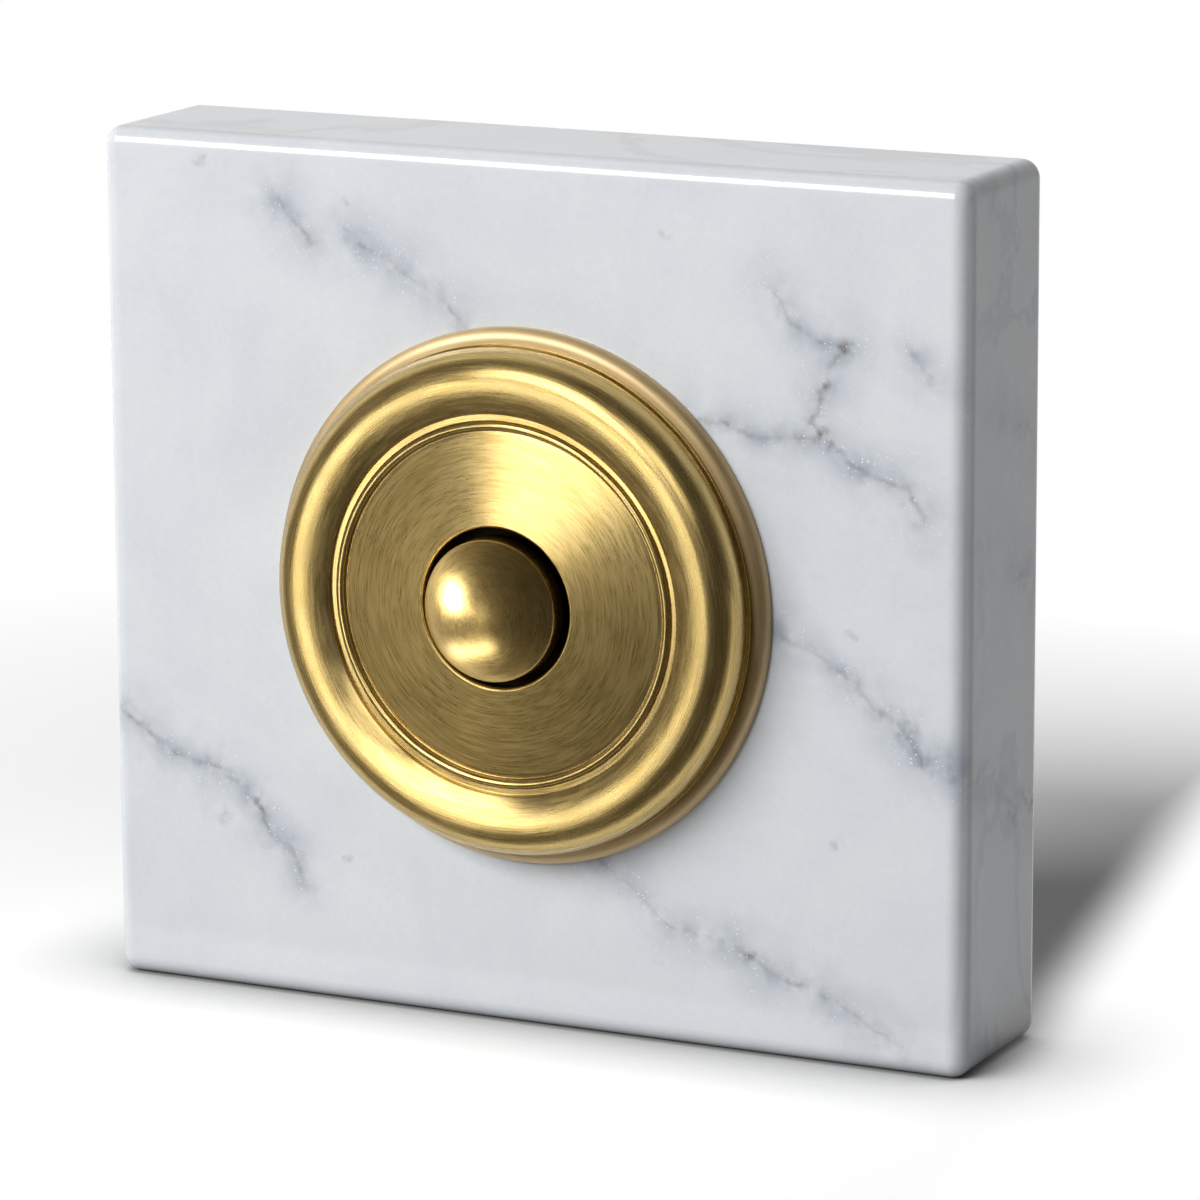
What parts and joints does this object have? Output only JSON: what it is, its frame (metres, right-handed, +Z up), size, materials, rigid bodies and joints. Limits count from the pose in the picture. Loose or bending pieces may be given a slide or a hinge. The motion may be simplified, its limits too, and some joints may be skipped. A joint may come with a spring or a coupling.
{
  "type": "doorbell push button",
  "caption": "Doorbell push: a domed brass button sprung in a turned, screw-on brass rose on a marble plate, with contact springs inside.",
  "frame": {"origin": "centre of the plate's back face, on the button's axis, at the mouth of the wire bore", "axes": "+Y out of the back into the wall, so the front faces -Y; +X along the plate's width; +Z up"},
  "size_m": [0.1, 0.0306, 0.093],
  "materials": {
    "carrara_marble": "honed and lightly polished white marble with grey veins",
    "polished_brass": "polished brass",
    "satin_brass": "satin brass with fine turning marks about the axis",
    "plain_brass": "plain machined brass",
    "contact_bronze": "rolled phosphor bronze strip",
    "contact_silver": "silver contact face",
    "spring_steel": "bright spring steel",
    "phenolic": "moulded dark brown phenolic",
    "nylon": "natural nylon"
  },
  "bodies": {
    "base": {"marble_plate": "carrara_marble", "base_ring": "polished_brass", "ring_screw_upper": "plain_brass", "ring_screw_lower": "plain_brass", "insert_upper": "plain_brass", "insert_lower": "plain_brass", "contact_block": "phenolic", "lower_contact": "contact_bronze", "contact_rivet": "contact_silver", "upper_contact": "contact_bronze", "terminal_washer_left": "plain_brass", "terminal_washer_right": "plain_brass", "terminal_screw_left": "plain_brass", "terminal_screw_right": "plain_brass", "spring_bridge": "plain_brass", "bridge_screw_upper": "plain_brass", "bridge_screw_lower": "plain_brass", "return_spring": "spring_steel"},
    "cover": {"rose_cover": "satin_brass", "retaining_ring": "spring_steel"},
    "button": {"push_button": "satin_brass", "plunger_tip": "nylon"}
  },
  "joints": [
    {"name": "cover_lift_off", "type": "slide", "parent": "base", "child": "cover", "axis": [0, -1, 0], "range_m": [0, 0.03]},
    {"name": "button_press", "type": "slide", "parent": "cover", "child": "button", "axis": [0, 1, 0], "range_m": [0, 0.002], "stiffness_N_per_m": 400, "springref_m": -0.004, "deforming": ["return_spring", "upper_contact"]}
  ]
}
